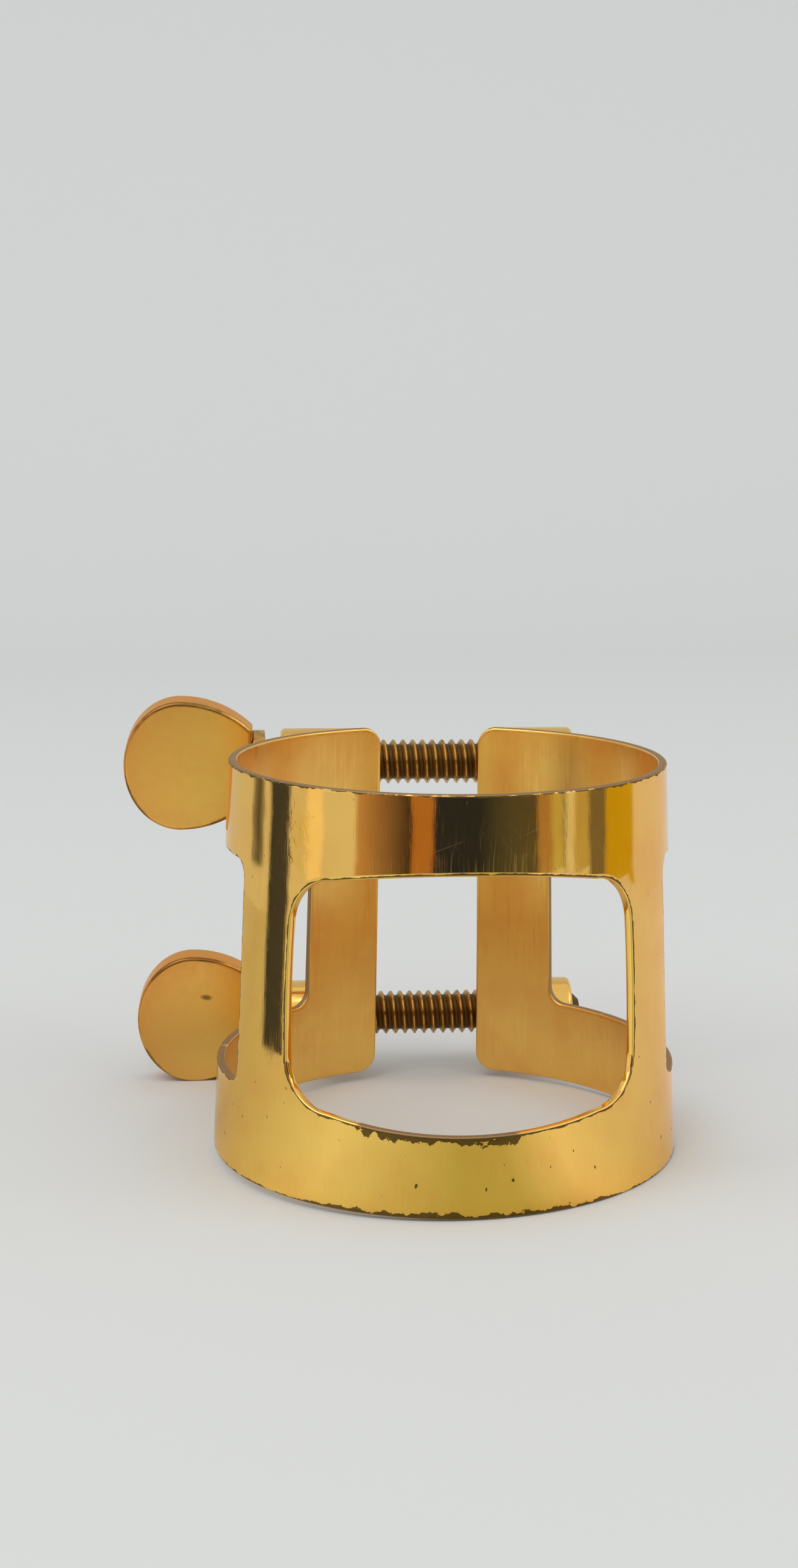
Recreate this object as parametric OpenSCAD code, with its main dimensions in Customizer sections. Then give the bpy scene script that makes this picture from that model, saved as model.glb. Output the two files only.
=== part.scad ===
// Saxophone ligature: a rolled and pierced brass band that two thumbscrews draw together.
// Lengths are in millimetres. The bore runs along Z with its wide rim in the plane z = 0,
// the front window faces -Y, and the screws cross the gap on the +Y side with their
// paddles towards -X.

/* [Band] */
// Height from the wide rim to the narrow rim
band_h = 23; // [19:0.5:34]
// Bore diameter at the wide rim
wide_bore_d = 26.5; // [24:0.1:32]
// Bore diameter at the narrow rim
narrow_bore_d = 24.4; // [22:0.1:30]
// Thickness of the sheet
sheet_t = 0.5; // [0.3:0.05:0.8]
// Height of the strap at the wide rim
lower_strap_h = 5.2; // [4:0.1:7]
// Height of the strap at the narrow rim
upper_strap_h = 5; // [4:0.1:7]
// Width of the front window along the sheet
front_window_w = 20.4; // [14:0.1:24]
// Rise of the front window's long edges from their ends to their middle
front_window_bow = 0.65; // [0:0.05:1.2]
// Corner radius of the front window
front_corner_r = 2.6; // [1.5:0.1:3.5]
// Width of the bars on both sides of the front window
bar_w = 4.8; // [3:0.1:6]
// Corner radius of the side windows
side_corner_r = 1; // [0.6:0.1:2]
// Width of the strips along the gap
end_strip_w = 5; // [4.4:0.1:6]
// Width of the gap between the band's ends, along the sheet
gap_w = 6.6; // [5:0.1:8]
// Radius of the band's free corners at the gap
free_corner_r = 1.2; // [0.5:0.1:2]

/* [Posts] */
// Height of the lower screw above the wide rim
lower_screw_z = 3.35; // [2.4:0.05:4]
// Depth of the upper screw below the narrow rim
upper_screw_drop = 2.6; // [2.4:0.1:4]
// Height of the screw axes above the band's outer face
screw_rise = 3.05; // [2.7:0.05:4]
// Diameter of the barrels
barrel_d = 4.4; // [4:0.1:5.4]
// Length of the barrels
barrel_l = 5.2; // [4:0.1:6]
// Chamfer on the barrels' ends
barrel_chamfer = 0.3; // [0.1:0.05:0.5]
// Diameter of the stem under each barrel
stem_d = 3.2; // [2.4:0.1:4]
// Diameter of the foot on the band
foot_d = 4.4; // [4:0.1:5]
// Height of the foot above the band
foot_t = 0.6; // [0.4:0.05:1]

/* [Thumbscrews] */
// Outer diameter of the thread
thread_d = 2.85; // [2:0.05:3]
// Pitch of the thread
thread_pitch = 0.635; // [0.4:0.005:0.8]
// Length of thread that stands out of the threaded barrel when a screw is home
thread_tail = 0.6; // [0:0.1:2]
// Chamfer on the thread's end
thread_chamfer = 0.4; // [0.2:0.05:0.6]
// Diameter of the collar that bears on the plain barrel
collar_d = 4.2; // [3.6:0.1:5]
// Thickness of the collar
collar_t = 0.8; // [0.5:0.05:1.5]
// Diameter of the spigot that holds the paddle
spigot_d = 1.3; // [0.9:0.05:1.4]
// Length of the spigot
spigot_l = 2.6; // [1.8:0.1:4]
// Height of the paddle at its widest place
paddle_h = 8.4; // [7:0.1:10]
// Length from the paddle's widest place to its outer end
paddle_nose = 3.6; // [3:0.1:5]
// Length from the paddle's widest place to the collar
paddle_reach = 4.65; // [3.8:0.05:5.2]
// Radius of the flanks that draw the paddle in towards the collar
paddle_flank_r = 6.6; // [5.4:0.1:12]
// Thickness of the paddle
paddle_t = 2.4; // [1.8:0.1:2.8]
// Diameter of the paddle's neck at the collar
neck_d = 3.2; // [2.9:0.1:3.6]
// Length over which the neck runs out into the paddle
neck_l = 1.4; // [1:0.1:2.4]
// Turns by which the upper screw is backed off from home
upper_turns_out = 1.5; // [0:0.25:3]
// Turns by which the lower screw is backed off from home
lower_turns_out = 0; // [0:0.25:3]
// Lean of the upper paddle's top towards the front, in degrees
upper_lean = 4; // [-90:1:90]
// Lean of the lower paddle's top towards the front, in degrees
lower_lean = 0; // [-90:1:90]

/* [Fits] */
// Gap around the screws in the barrels, on the radius
screw_clearance = 0.08; // [0.05:0.01:0.1]
// Gap around the spigot in the paddle, on the radius
spigot_clearance = 0.03; // [0.02:0.01:0.08]
// Gap between faces that bear on each other
face_clearance = 0.02; // [0.01:0.01:0.05]
// Thickness of the solder under the posts' feet
solder_film = 0.05; // [0.02:0.01:0.1]

/* [Hidden] */
$fn = 96;

PLAIN = -1;
THREADED = 1;
GOLD = "goldenrod";
BRASS = "darkgoldenrod";

wide_r = wide_bore_d / 2 + sheet_t;
narrow_r = narrow_bore_d / 2 + sheet_t;
sheet_r = (wide_r + narrow_r - sheet_t) / 2;
reach = 2 * wide_r;

window_low = lower_strap_h;
window_high = band_h - upper_strap_h;
front_half = sheet_angle(front_window_w / 2);
gap_half = sheet_angle(gap_w / 2);
side_start = front_half + sheet_angle(bar_w);
side_end = 180 - gap_half - sheet_angle(end_strip_w);
post_angle = gap_half + sheet_angle(end_strip_w / 2);
upper_screw_z = band_h - upper_screw_drop;

// Angle that a length along the sheet takes at its mean radius
function sheet_angle(length) = length / sheet_r * 180 / PI;

// Radius of the band's outer face at a height
function outer_r(z) = wide_r + (narrow_r - wide_r) * z / band_h;

// Where a post's barrel has its middle, from the bore axis, at a height
function post_x(z) = (outer_r(z) + screw_rise) * sin(post_angle);
function post_y(z) = (outer_r(z) + screw_rise) * cos(post_angle);

// Distance from the bore axis to a barrel's outer face, along the screw
function seat_x(z) = post_x(z) + barrel_l / 2;

// Shapes that repeat

// Turns a shape that faces -Y round the bore axis, and moves it up
module at(angle, z = 0) {
    translate([0, 0, z]) rotate([0, 0, angle]) children();
}

// Upright wedge that opens from the bore axis towards -Y
module wedge(half, low, high) {
    side = reach * tan(half);
    translate([0, 0, low])
        linear_extrude(high - low)
            polygon([[0, 0], [-side, -reach], [side, -reach]]);
}

// Rod that runs from the bore axis towards -Y
module radial_rod(d, length) {
    rotate([90, 0, 0]) cylinder(d = d, h = length);
}

// Slab whose upper and lower faces spread towards -Y by a slope
module spread_slab(low, high, slope) {
    far = slope * (reach - sheet_r);
    near = slope * sheet_r;
    rotate([90, 0, 90])
        linear_extrude(2 * reach, center = true)
            polygon([
                [0, low + near], [0, high - near],
                [-reach, high + far], [-reach, low - far]
            ]);
}

// Cutter for a window with round corners, centred on -Y
module window(half, low, high, corner_r, bow) {
    corner = half - asin(corner_r / sheet_r);
    slope = bow / (sheet_r * (1 - cos(corner)));
    module block(width, inset) {
        intersection() {
            wedge(width, low - reach, high + reach);
            spread_slab(low - bow + inset, high + bow - inset, slope);
        }
    }
    block(corner, 0);
    block(half, corner_r);
    for (side = [-1, 1])
        for (z = [low + corner_r, high - corner_r])
            at(side * corner, z) radial_rod(2 * corner_r, reach);
}

// Cutter that rounds one free corner of the band at the gap
module free_corner(rim, inward, side) {
    turn = asin(free_corner_r / sheet_r);
    overlap = gap_half / 2;
    z = rim + inward * free_corner_r;
    past = rim - inward * sheet_t;
    difference() {
        at(180 - side * (gap_half + (turn - overlap) / 2))
            wedge((turn + overlap) / 2, min(z, past), max(z, past));
        at(180 - side * (gap_half + turn), z) radial_rod(2 * free_corner_r, 2 * reach);
    }
}

// Solid cone inside the band's outer face, grown by a film
module band_core(film) {
    rotate_extrude()
        polygon([
            [0, -sheet_t], [outer_r(-sheet_t) + film, -sheet_t],
            [outer_r(band_h + sheet_t) + film, band_h + sheet_t], [0, band_h + sheet_t]
        ]);
}

// The band

module band() {
    color(GOLD)
        difference() {
            rotate_extrude()
                polygon([
                    [wide_r - sheet_t, 0], [wide_r, 0],
                    [narrow_r, band_h], [narrow_r - sheet_t, band_h]
                ]);
            window(front_half, window_low, window_high, front_corner_r, front_window_bow);
            for (side = [-1, 1])
                at(side * (side_start + side_end) / 2)
                    window((side_end - side_start) / 2, window_low, window_high, side_corner_r, 0);
            at(180) wedge(gap_half, -sheet_t, band_h + sheet_t);
            for (side = [-1, 1]) {
                free_corner(0, 1, side);
                free_corner(band_h, -1, side);
            }
        }
}

// The posts

// Turned barrel along X
module barrel() {
    r = barrel_d / 2;
    end = barrel_l / 2;
    rotate([0, 90, 0])
        rotate_extrude()
            polygon([
                [0, -end], [r - barrel_chamfer, -end], [r, -end + barrel_chamfer],
                [r, end - barrel_chamfer], [r - barrel_chamfer, end], [0, end]
            ]);
}

// Post that stands square on the band and carries a barrel across its top
module post(side, z) {
    turn = 180 - side * post_angle;
    color(BRASS)
        difference() {
            union() {
                translate([side * post_x(z), post_y(z), z]) barrel();
                at(turn, z) radial_rod(stem_d, outer_r(z) + screw_rise);
                at(turn, z) radial_rod(foot_d, outer_r(z) + foot_t);
            }
            band_core(solder_film);
            translate([side * post_x(z), post_y(z), z])
                rotate([0, 90, 0])
                    cylinder(d = thread_d + 2 * screw_clearance, h = 2 * barrel_l, center = true);
        }
}

module upper_plain_post() {
    post(PLAIN, upper_screw_z);
}

module upper_threaded_post() {
    post(THREADED, upper_screw_z);
}

module lower_plain_post() {
    post(PLAIN, lower_screw_z);
}

module lower_threaded_post() {
    post(THREADED, lower_screw_z);
}

// The thumbscrews

// Puts a screw in its barrels: its own Z runs along X from the plain barrel's outer face
module in_barrels(z, turns_out) {
    translate([-seat_x(z) - face_clearance - turns_out * thread_pitch, post_y(z), z])
        rotate([0, 90, 0])
            children();
}

// Turned shank with its collar and spigot
module screw_shank(z, turns_out) {
    r = thread_d / 2;
    tip = 2 * seat_x(z) + thread_tail + face_clearance;
    color(BRASS)
        in_barrels(z, turns_out)
            rotate_extrude()
                polygon([
                    [0, -collar_t - spigot_l], [spigot_d / 2, -collar_t - spigot_l],
                    [spigot_d / 2, -collar_t], [collar_d / 2, -collar_t],
                    [collar_d / 2, 0], [r, 0],
                    [r, tip - thread_chamfer], [r - thread_chamfer, tip], [0, tip]
                ]);
}

// Outline of the paddle: half an oval, then two flanks that draw in towards the collar at +Y
module paddle_outline() {
    flank_shift = paddle_flank_r - paddle_h / 2;
    scale([1, 2 * paddle_nose / paddle_h]) circle(d = paddle_h);
    intersection() {
        translate([-paddle_h / 2, 0]) square([paddle_h, paddle_reach]);
        translate([-flank_shift, 0]) circle(paddle_flank_r);
        translate([flank_shift, 0]) circle(paddle_flank_r);
    }
}

// Flat thumb paddle with a neck that runs out into it
module paddle(z, turns_out, lean) {
    base = -collar_t - face_clearance;
    color(GOLD)
        in_barrels(z, turns_out)
            rotate([0, 0, lean])
                difference() {
                    union() {
                        translate([0, 0, base - paddle_reach])
                            rotate([90, 0, 0])
                                linear_extrude(paddle_t, center = true) paddle_outline();
                        translate([0, 0, base - neck_l])
                            cylinder(d1 = paddle_t, d2 = neck_d, h = neck_l);
                    }
                    translate([0, 0, -collar_t - spigot_l - face_clearance])
                        cylinder(d = spigot_d + 2 * spigot_clearance, h = spigot_l + neck_d);
                }
}

module upper_screw_shank() {
    screw_shank(upper_screw_z, upper_turns_out);
}

module lower_screw_shank() {
    screw_shank(lower_screw_z, lower_turns_out);
}

module upper_paddle() {
    paddle(upper_screw_z, upper_turns_out, upper_lean);
}

module lower_paddle() {
    paddle(lower_screw_z, lower_turns_out, lower_lean);
}

band();
upper_plain_post();
upper_threaded_post();
lower_plain_post();
lower_threaded_post();
upper_screw_shank();
lower_screw_shank();
upper_paddle();
lower_paddle();
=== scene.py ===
"""Saxophone ligature: a pierced, gold-plated band that two thumbscrews draw together."""

import math
from functools import partial
from types import SimpleNamespace

import bmesh
import bpy
from bmesh.types import BMEdge, BMFace, BMVert
from bpy.props import FloatProperty, FloatVectorProperty, PointerProperty
from mathutils import Matrix, Vector


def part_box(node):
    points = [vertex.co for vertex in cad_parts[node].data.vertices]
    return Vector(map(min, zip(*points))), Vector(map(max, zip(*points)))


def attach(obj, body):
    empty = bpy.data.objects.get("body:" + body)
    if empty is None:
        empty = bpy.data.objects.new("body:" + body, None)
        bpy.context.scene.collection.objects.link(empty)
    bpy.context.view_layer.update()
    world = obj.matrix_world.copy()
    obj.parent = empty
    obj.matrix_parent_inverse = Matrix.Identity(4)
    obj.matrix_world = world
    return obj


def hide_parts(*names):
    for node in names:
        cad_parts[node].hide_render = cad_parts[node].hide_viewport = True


bl_info = {
    "name": "Saxophone Ligature",
    "version": (1, 0, 0),
    "blender": (4, 5, 0),
    "location": "View3D > Sidebar > Ligature",
    "description": "Builds a gold-plated band ligature with two thumbscrews, and its studio",
    "category": "Object",
}

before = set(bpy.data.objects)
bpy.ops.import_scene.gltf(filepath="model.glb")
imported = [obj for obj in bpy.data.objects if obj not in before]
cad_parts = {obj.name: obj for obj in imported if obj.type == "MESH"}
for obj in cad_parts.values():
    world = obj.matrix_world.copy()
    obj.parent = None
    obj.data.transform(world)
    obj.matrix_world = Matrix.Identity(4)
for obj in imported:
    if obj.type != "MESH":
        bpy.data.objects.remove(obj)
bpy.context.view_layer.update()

MM = 0.001
SMOOTH_ANGLE = math.radians(38)

# What the frame says, in millimetres
BAND_BOX = [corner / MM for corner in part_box("band")]
BAND_H = BAND_BOX[1].z
WIDE_R = BAND_BOX[1].x
SCREWS = ("upper", "lower")
SIDES = {"plain": -1, "threaded": 1}

# How wide the plate has worn off along the cut edges, in millimetres
WORN_W = {
    "wide rim": 0.12,
    "front of wide rim": 0.3,
    "narrow rim": 0.13,
    "gap": 0.12,
    "front window": 0.09,
    "chip": 0.48,
    "side window": 0.12,
}
# The chipped stretch of the front window's lower edge, in shares of the window's half width
CHIP = (-0.56, 0.26)
# Places in millimetres: a stain on the face of the lower paddle, and a smear on the flat sheet
STAIN = (-14.4, 13.8, 4.85)
SMEAR = (-9.75, 20.2, 0.0)
# Share of amber film at the middle of each paddle, and painted shade, as more amber, that grows
# towards the top and the nose
AMBER_FILM_AND_SHADE = {"upper": (0.34, 0.0, 0.33), "lower": (0.15, 0.38, 0.45)}
# Width of the ring near a paddle's rim that has more amber, a painted darker border, in millimetres,
# and how much more
PAINTED_RIM_SHADE = (1.5, 0.15)
# Share of brown in the posts' corners, and how dark the threads get towards their roots
BROWN_SHARE = 0.7
ROOT_DARK_SHARE = 0.85
# Outline of a paddle's neck: radius, and distance from the collar, in millimetres
NECK = (
    (0, 0), (1.6, 0), (1.6, 0.2), (1.45, 0.5), (1.3, 1.0), (1.1, 1.7), (0.7, 2.3), (0, 2.5),
)


def screw_box(name, piece):
    """Lowest and highest corner of a screw's CAD piece, in millimetres."""
    return [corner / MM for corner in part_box(f"{name}_{piece}")]


def screw_axis(name):
    """The Y and Z of a screw's axis, in millimetres."""
    low, high = screw_box(name, "screw_shank")
    return (low.y + high.y) / 2, (low.z + high.z) / 2


def linear(code):
    """Linear RGB of an sRGB hex colour."""
    shares = [int(code[i:i + 2], 16) / 255 for i in (1, 3, 5)]
    return [c / 12.92 if c <= 0.04045 else ((c + 0.055) / 1.055) ** 2.4 for c in shares]


def size(name, millimetres, description):
    """A length that a user can change."""
    return FloatProperty(
        name=name, description=description, default=millimetres * MM, unit="LENGTH", precision=5
    )


def tint(name, code, description):
    """A colour that a user can change."""
    return FloatVectorProperty(
        name=name, description=description, default=linear(code), subtype="COLOR", min=0, max=1
    )


class BandSizes(bpy.types.PropertyGroup):
    """Sizes of the rolled and pierced band"""

    narrow_r: size("Narrow radius", 12.7, "Outer radius at the narrow rim")
    sheet_t: size("Sheet", 0.5, "Thickness of the sheet")
    lower_strap: size("Lower strap", 5.2, "Height of the strap at the wide rim")
    upper_strap: size("Upper strap", 5.0, "Height of the strap at the narrow rim")
    front_window: size("Front window", 20.4, "Width of the front window along the sheet")
    front_bow: size("Window bow", 0.65, "Rise of the front window's long edges at their middle")
    side_bow: size("Side bow", 0.3, "How far the front window's sides bulge at mid height")
    front_corner: size("Front corners", 2.6, "Corner radius of the front window")
    bar: size("Bars", 4.8, "Width of the bars beside the front window")
    side_corner: size("Side corners", 1.0, "Corner radius of the side windows")
    end_strip: size("End strips", 5.0, "Width of the strips along the gap")
    gap: size("Gap", 6.6, "Width of the gap along the sheet")
    free_corner: size("Free corners", 1.2, "Radius of the band's corners at the gap")
    rim_round: size("Rim rounding", 0.12, "Rounding of the sheet's cut edges")


class ScrewSizes(bpy.types.PropertyGroup):
    """Sizes of the posts and the thumbscrews"""

    barrel_r: size("Barrel radius", 2.2, "Outer radius of the posts' barrels")
    barrel_l: size("Barrel length", 5.2, "Length of the posts' barrels")
    bore_r: size("Bore radius", 1.505, "Radius of the hole through a barrel")
    stem_r: size("Stem radius", 1.6, "Radius of the stem under a barrel")
    foot_r: size("Foot radius", 2.2, "Radius of the foot on the band")
    foot_t: size("Foot height", 0.6, "Height of the foot above the band")
    crest_r: size("Thread radius", 1.425, "Outer radius of the thread")
    root_r: size("Thread root", 1.13, "Radius at the bottom of the thread")
    pitch: size("Thread pitch", 0.635, "Travel of the screw in one turn")
    collar_t: size("Collar", 0.8, "Thickness of the collar behind the paddle")
    paddle_h: size("Paddle height", 8.4, "Height of the paddle at its widest place")
    paddle_nose: size("Paddle nose", 3.6, "Length from the paddle's widest place to its outer end")
    paddle_reach: size("Paddle reach", 4.65, "Length from the paddle's widest place to the collar")
    flank_r: size("Flank radius", 6.6, "Radius of the flanks that draw in towards the collar")
    paddle_t: size("Paddle thickness", 2.4, "Thickness of the paddle")
    upper_lean: FloatProperty(
        name="Upper lean", description="Lean of the upper paddle's top towards the front",
        default=math.radians(4), subtype="ANGLE",
    )


class FinishColours(bpy.types.PropertyGroup):
    """Colours of the metal"""

    plate: tint("Gold plate", "#F6C76A", "Clean gold plate")
    warm_plate: tint("Warm plate", "#ECAE5C", "Gold plate where the film is redder")
    amber_plate: tint("Amber plate", "#E69C51", "Gold plate on the paddles where it is reddest")
    rosy_plate: tint("Rosy plate", "#EA9853", "Gold plate on the paddles' rims")
    edge_tint: tint("Edge tint", "#FFF5E3", "Tint of the band where it is seen at a grazing angle")
    rim_tint: tint("Rim tint", "#FDECBC", "Tint of the paddles where they are seen at a grazing angle")
    scratch: tint("Scratches", "#FFE9B4", "Bright brass in fresh scratches")
    smear: tint("Smear", "#E9B23E", "Yellow smear on the top strap")
    worn: tint("Worn plate", "#8A6E3E", "Brown brass where the plate has gone")
    cut_edge: tint("Cut edge", "#A5855F", "Bare cut edge of the sheet, dulled to taupe")
    tarnish: tint("Tarnish", "#563F20", "Oldest tarnish, in pits and along sharp edges")
    shank: tint("Shank brass", "#C79A52", "Turned brass of the screws")
    # Colour that darkens the threads towards their roots, by depth
    root_dark: tint("Thread grime", "#3A2A17", "Dirt at the bottom of the thread")


class StageSettings(bpy.types.PropertyGroup):
    """Floor, light and camera"""

    floor: tint("Floor", "#DADBDA", "Pale floor and backdrop")
    sky: tint("Sky", "#F0F1F1", "Soft light from all round")
    lens: FloatProperty(
        name="Lens", description="Focal length for a 36 mm film", default=48.62, unit="CAMERA"
    )


def plain(group):
    """A property group's values, with its lengths in millimetres and its colours as RGBA."""
    values = {}
    for key in group.__annotations__:
        value, kind = getattr(group, key), group.bl_rna.properties[key]
        if kind.unit == "LENGTH":
            value /= MM
        elif kind.is_array:
            value = (*value, 1.0)
        values[key] = value
    return SimpleNamespace(**values)


# Meshes, in millimetres


class Blank:
    """The flat band before it is rolled: s runs along the sheet and z up from the wide rim."""

    def __init__(self, sizes):
        self.sizes = sizes
        self.mean_r = (WIDE_R + sizes.narrow_r - sizes.sheet_t) / 2
        self.low = sizes.lower_strap
        self.high = BAND_H - sizes.upper_strap
        self.middle = (self.low + self.high) / 2
        self.half = sizes.front_window / 2
        self.near = self.half + sizes.bar
        self.end = math.pi * self.mean_r - sizes.gap / 2
        self.far = self.end - sizes.end_strip
        # Left, right and corner radius of each window
        self.windows = (
            (-self.half, self.half, sizes.front_corner),
            (self.near, self.far, sizes.side_corner),
            (-self.far, -self.near, sizes.side_corner),
        )

    def outer_r(self, z):
        """Radius of the band's outer face at a height."""
        return WIDE_R + (self.sizes.narrow_r - WIDE_R) * z / BAND_H

    def bow(self, s):
        """Rise of the front window's long edges at a place along the sheet."""
        corner = (self.half - self.sizes.front_corner) / self.mean_r
        drop = (1 - math.cos(s / self.mean_r)) / (1 - math.cos(corner))
        return self.sizes.front_bow * max(0.0, 1 - drop) if abs(s) < self.half else 0.0

    def bulge(self, z):
        """How far the front window's sides stand out at a height."""
        level = (2 * z - self.low - self.high) / (self.high - self.low)
        return self.sizes.side_bow * max(0.0, 1 - level * level)

    def edge(self, s, z):
        """Distance to the nearest cut edge, how wide the plate has worn there, and if it has a lip.

        The front window's lip is rubbed bright, except where it has chipped below the middle.
        """
        front_share = max(0.0, math.cos(2 * s / self.mean_r))
        side_w, front_w = WORN_W["wide rim"], WORN_W["front of wide rim"]
        found = [
            (z, side_w + (front_w - side_w) * front_share, 0.0),
            (BAND_H - z, WORN_W["narrow rim"], 0.0),
            (self.end - abs(s), WORN_W["gap"], 0.0),
        ]
        for left, right, radius in self.windows:
            front = left < 0 < right
            across = abs(s - (left + right) / 2) - (right - left) / 2 - front * self.bulge(z) + radius
            up = abs(z - self.middle) - (self.high - self.low) / 2 - front * self.bow(s) + radius
            outside = math.hypot(max(across, 0), max(up, 0)) + min(max(across, up), 0) - radius
            if not front:
                found.append((outside, WORN_W["side window"], 0.0))
            elif z < self.middle and CHIP[0] * self.half < s < CHIP[1] * self.half:
                found.append((outside, WORN_W["chip"], 0.0))
            else:
                found.append((outside, WORN_W["front window"], 1.0))
        gap, worn, lip = min(found)
        return max(gap, 0.0), worn, lip


def steps(start, end, count):
    """Evenly spaced places from start to end."""
    return [start + (end - start) * i / count for i in range(count + 1)]


def round_corner(v, corner, outward, radius):
    """Turns a square corner of the grid into an arc, and eases the grid lines beside it."""
    centre = Vector(corner) - radius * Vector(outward)
    q = Vector(((v.co.x - centre.x) * outward[0], (v.co.y - centre.y) * outward[1])) / radius
    if min(q) <= 0 or max(q) >= 2:
        return
    ring = max(q)
    turn = math.pi / 4 * min(q) / ring
    turn = turn if q.x > q.y else math.pi / 2 - turn
    share = 1 - abs(ring - 1)
    share = share * share * (3 - 2 * share)
    q = q.lerp(ring * Vector((math.cos(turn), math.sin(turn))), share)
    v.co.x = centre.x + q.x * radius * outward[0]
    v.co.y = centre.y + q.y * radius * outward[1]


def cut_blank(bm, blank):
    """The flat band with its windows: a grid whose lines follow the edges."""
    columns = [
        -blank.end,
        *steps(-blank.far, -blank.near, 4),
        *steps(-blank.half, blank.half, 4),
        *steps(blank.near, blank.far, 4),
        blank.end,
    ]
    rows = [0.0, *steps(blank.low, blank.high, 3), BAND_H]
    across, up = len(columns) - 1, len(rows) - 1
    grid = bmesh.ops.create_grid(bm, x_segments=across, y_segments=up, size=1)
    for v in grid["verts"]:
        column = round((v.co.x + 1) / 2 * across)
        row = round((v.co.y + 1) / 2 * up)
        v.co = (columns[column], rows[row], 0)
    pierced = []
    for face in bm.faces:
        s, z, _ = face.calc_center_median()
        if blank.low < z < blank.high and any(l < s < r for l, r, _ in blank.windows):
            pierced.append(face)
    bmesh.ops.delete(bm, geom=pierced, context="FACES")
    bmesh.ops.subdivide_edges(bm, edges=bm.edges, cuts=17, use_grid_fill=True)


def shape_blank(bm, blank):
    """Rounds the corners of the blank and bows the front window."""
    free_corner = blank.sizes.free_corner
    for v in bm.verts:
        for left, right, radius in blank.windows:
            for s, side in ((left, -1), (right, 1)):
                round_corner(v, (s, blank.low), (side, -1), radius)
                round_corner(v, (s, blank.high), (side, 1), radius)
        for side in (-1, 1):
            round_corner(v, (side * blank.end, 0), (side, -1), free_corner)
            round_corner(v, (side * blank.end, BAND_H), (side, 1), free_corner)
    for v in bm.verts:
        s, z, _ = v.co
        if z >= blank.middle:
            share = min(1, (BAND_H - z) / (BAND_H - blank.high))
            v.co.y += share * blank.bow(s)
        else:
            share = min(1, z / blank.low)
            v.co.y -= share * blank.bow(s)
        if abs(s) < blank.near:
            share = min(1, (blank.near - abs(s)) / (blank.near - blank.half))
            v.co.x += math.copysign(blank.bulge(z) * share, s)


def roll_blank(bm, blank):
    """Rolls the flat blank onto the band's cone, with the front window towards -Y."""
    for v in bm.verts:
        s, z, _ = v.co
        turn = s / blank.mean_r
        r = blank.outer_r(z)
        v.co = (r * math.sin(turn), -r * math.cos(turn), z)


def pick(geom, kind):
    """The vertices, edges or faces among an operator's results."""
    return [g for g in geom if isinstance(g, kind)]


def sharp_edges(bm):
    """Edges at which the surface turns by more than 60 degrees."""
    limit = math.radians(60)
    return [e for e in bm.edges if len(e.link_faces) == 2 and e.calc_face_angle() > limit]


def round_edges(bm, width, segments):
    """Rounds the sharp edges with an arc of the given width."""
    bmesh.ops.bevel(
        bm, geom=sharp_edges(bm), offset=width, offset_type="OFFSET", affect="EDGES",
        segments=segments, profile=0.5, material=-1, clamp_overlap=True,
    )


def clean(bm):
    """Merges doubles and turns all faces outwards."""
    bmesh.ops.remove_doubles(bm, verts=bm.verts, dist=1e-4)
    bmesh.ops.recalc_face_normals(bm, faces=bm.faces)


def turned(outline, closed=False):
    """A mesh spun about Z from an outline of (radius, height) points."""
    bm = bmesh.new()
    verts = [bm.verts.new((r, 0, h)) for r, h in outline]
    ends = verts[1:] + verts[:1] if closed else verts[1:]
    edges = [bm.edges.new(pair) for pair in zip(verts, ends)]
    bmesh.ops.spin(
        bm, geom=verts + edges, cent=(0, 0, 0), axis=(0, 0, 1), angle=2 * math.pi,
        steps=64, use_merge=True, use_duplicate=False,
    )
    clean(bm)
    return bm


def join(bm, other):
    """Adds another mesh to a mesh, and frees it."""
    mesh = bpy.data.meshes.new("joined")
    other.to_mesh(mesh)
    other.free()
    bm.from_mesh(mesh)
    bpy.data.meshes.remove(mesh)


def new_object(name, bm, materials):
    """Makes a smooth object of a mesh, and frees the mesh."""
    mesh = bpy.data.meshes.new(name)
    bm.to_mesh(mesh)
    bm.free()
    for material in materials:
        mesh.materials.append(material)
    mesh.shade_smooth()
    made = bpy.data.objects.new(name, mesh)
    bpy.context.scene.collection.objects.link(made)
    return made


def give_values(made, key, values):
    """Gives each vertex of an object a number, or a vector, that its material reads."""
    kind, field = ("FLOAT", "value") if isinstance(values[0], float) else ("FLOAT_VECTOR", "vector")
    layer = made.data.attributes.new(key, kind, "POINT")
    for item, value in zip(layer.data, values):
        setattr(item, field, value)


def place(bm, name, materials, body, node, slot, **values_at):
    """Makes a piece of a mesh in millimetres, and seats it in the frame in place of a CAD node.

    values_at are functions that find a value for the materials from a vertex's place.
    """
    piece = new_object(name, bm, materials)
    for key, value_at in values_at.items():
        give_values(piece, key, [value_at(v.co) for v in piece.data.vertices])
    piece.data.transform(Matrix.Scale(MM, 4))
    piece.data.set_sharp_from_angle(angle=SMOOTH_ANGLE)
    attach(piece, body)
    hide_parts(node)


# Materials


def add_node(tree, kind, inputs=(), output=None, **settings):
    """Adds a shader node with its settings, and sets or links its inputs.

    Inputs are given by name, or as a tuple in the order of the sockets in use: a Map Range takes
    its value, from min, from max, to min and to max, and a Mix its factor and what it mixes. The
    result is the output of the given name, or the first one in use.
    """
    made = tree.nodes.new("ShaderNode" + kind)
    for key, value in settings.items():
        setattr(made, key, value)
    if isinstance(inputs, dict):
        sockets, values = [made.inputs[key] for key in inputs], inputs.values()
    else:
        sockets, values = [socket for socket in made.inputs if socket.enabled], inputs
    for socket, value in zip(sockets, values):
        if isinstance(value, bpy.types.NodeSocket):
            tree.links.new(value, socket)
        else:
            socket.default_value = value
    return made.outputs[output] if output else next((s for s in made.outputs if s.enabled), None)


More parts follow.
